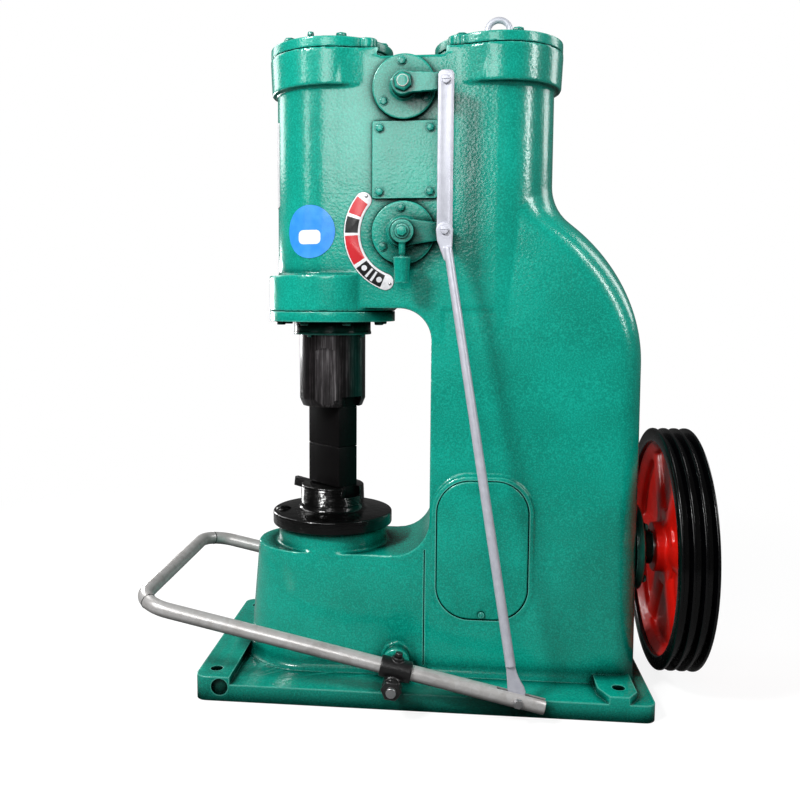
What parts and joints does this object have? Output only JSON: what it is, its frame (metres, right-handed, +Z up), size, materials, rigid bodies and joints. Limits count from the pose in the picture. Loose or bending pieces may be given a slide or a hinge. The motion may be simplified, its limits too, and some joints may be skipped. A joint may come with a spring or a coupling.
{
  "type": "pneumatic forging hammer",
  "caption": "Single-frame air forging hammer: twin vertical cylinders, round ram over angled dies, treadle with link rod to the valves, rear belt pulley.",
  "frame": {"origin": "centre of the rectangle of foundation holes, on the underside of the base plate", "axes": "+Z up, +X from the ram to the belt pulley, -Y the side with the valve linkage"},
  "size_m": [1.066, 0.562, 1.273],
  "materials": {
    "green_enamel": "glossy green enamel over the cast skin",
    "oiled_steel": "blackened, oiled forging steel",
    "bare_steel": "bare machined steel",
    "silver_paint": "silver-grey paint",
    "zinc_steel": "zinc-coated steel pipe",
    "pulley_paint": "gloss red web, gloss black rim",
    "black_enamel": "gloss black enamel",
    "rubber": "oil-seal rubber",
    "scale_print": "printed red and black fields on white",
    "sign_print": "blue printed disc",
    "plate_print": "plain white plate",
    "green_steel": "green enamel on steel"
  },
  "bodies": {
    "frame": {"frame_casting": "green_enamel", "front_lid": "green_enamel", "rear_lid": "green_enamel", "front_lid_bolts": "green_steel", "rear_lid_bolts": "green_steel", "lifting_eye": "silver_paint", "guide_flange": "green_enamel", "gland_ring": "green_enamel", "guide_bolts": "oiled_steel", "lower_die": "oiled_steel", "lower_die_key": "oiled_steel", "die_holder": "black_enamel", "upper_valve_cover": "green_enamel", "upper_cover_bolts": "green_steel", "port_cover": "green_enamel", "port_cover_bolts": "green_steel", "lower_valve_cover": "green_enamel", "lower_cover_bolts": "green_steel", "scale_plate": "scale_print", "scale_plate_rivets": "bare_steel", "side_cover": "green_enamel", "side_cover_screws": "bare_steel", "front_bearing": "bare_steel", "rear_bearing": "bare_steel", "bearing_cover": "green_enamel", "bearing_cover_bolts": "green_steel", "shaft_seal": "rubber", "sign_disc": "sign_print", "front_plate": "plate_print"},
    "ram": {"ram": "oiled_steel", "ram_rings": "bare_steel", "upper_die": "oiled_steel", "upper_die_key": "oiled_steel"},
    "flywheel": {"crankshaft": "bare_steel", "pulley": "pulley_paint", "pulley_key": "bare_steel", "pulley_bolt": "bare_steel"},
    "piston": {"compressor_piston": "bare_steel", "piston_rings": "bare_steel", "wrist_pin": "bare_steel"},
    "conrod": {"connecting_rod": "bare_steel", "crank_pin": "bare_steel"},
    "treadle": {"treadle_pipe": "zinc_steel", "treadle_clamps": "black_enamel", "clamp_screws": "black_enamel", "treadle_shaft": "bare_steel", "shaft_nuts": "black_enamel", "rod_bolt": "zinc_steel"},
    "upper_valve": {"upper_valve": "bare_steel", "upper_arm": "green_steel", "upper_arm_nut": "green_steel", "upper_link_pin": "silver_paint"},
    "lower_valve": {"lower_valve": "bare_steel", "lower_arm": "green_steel", "lower_link_pin": "silver_paint"},
    "link_bar": {"link_bar": "silver_paint"},
    "link_rod": {"link_rod": "silver_paint"},
    "hand_lever": {"hand_spindle": "bare_steel", "hand_lever": "green_steel", "hand_lever_bolt": "green_steel"}
  },
  "joints": [
    {"name": "ram_slide", "type": "slide", "parent": "frame", "child": "ram", "axis": [0, 0, 1], "range_m": [0, 0.115]},
    {"name": "flywheel_spin", "type": "hinge", "parent": "frame", "child": "flywheel", "pos_m": [0.3, 0, 0.26], "axis": [1, 0, 0], "continuous": true},
    {"name": "piston_slide", "type": "slide", "parent": "frame", "child": "piston", "axis": [0, 0, 1], "range_m": [0, 0.1]},
    {"name": "conrod_swing", "type": "hinge", "parent": "piston", "child": "conrod", "pos_m": [0.131, 0, 0.67], "axis": [1, 0, 0], "range_deg": [-6, 6]},
    {"name": "treadle_pivot", "type": "hinge", "parent": "frame", "child": "treadle", "pos_m": [-0.047, 0, 0.062], "axis": [0, -1, 0], "range_deg": [0, 12], "stiffness_Nm_per_rad": 40, "springref_deg": -22.92},
    {"name": "upper_valve_turn", "type": "hinge", "parent": "frame", "child": "upper_valve", "pos_m": [-0.041, 0, 1.122], "axis": [0, -1, 0], "range_deg": [0, 34.5]},
    {"name": "lower_valve_turn", "type": "hinge", "parent": "frame", "child": "lower_valve", "pos_m": [-0.041, 0, 0.862], "axis": [0, -1, 0], "range_deg": [0, 34.5]},
    {"name": "link_bar_turn", "type": "hinge", "parent": "lower_valve", "child": "link_bar", "pos_m": [0.035, -0.155, 0.862], "axis": [0, -1, 0], "range_deg": [-34.5, 0]},
    {"name": "link_rod_turn", "type": "hinge", "parent": "lower_valve", "child": "link_rod", "pos_m": [0.035, -0.162, 0.862], "axis": [0, -1, 0], "range_deg": [-33.72, 0]},
    {"name": "hand_lever_turn", "type": "hinge", "parent": "frame", "child": "hand_lever", "pos_m": [-0.041, -0.14, 0.862], "axis": [0, 1, 0], "range_deg": [0, 115]}
  ],
  "couplings": [
    {"joint": "upper_valve_turn", "follows": "treadle_pivot", "ratio": 2.875},
    {"joint": "lower_valve_turn", "follows": "treadle_pivot", "ratio": 2.875},
    {"joint": "link_bar_turn", "follows": "treadle_pivot", "ratio": -2.875},
    {"joint": "link_rod_turn", "follows": "treadle_pivot", "ratio": -2.81}
  ]
}
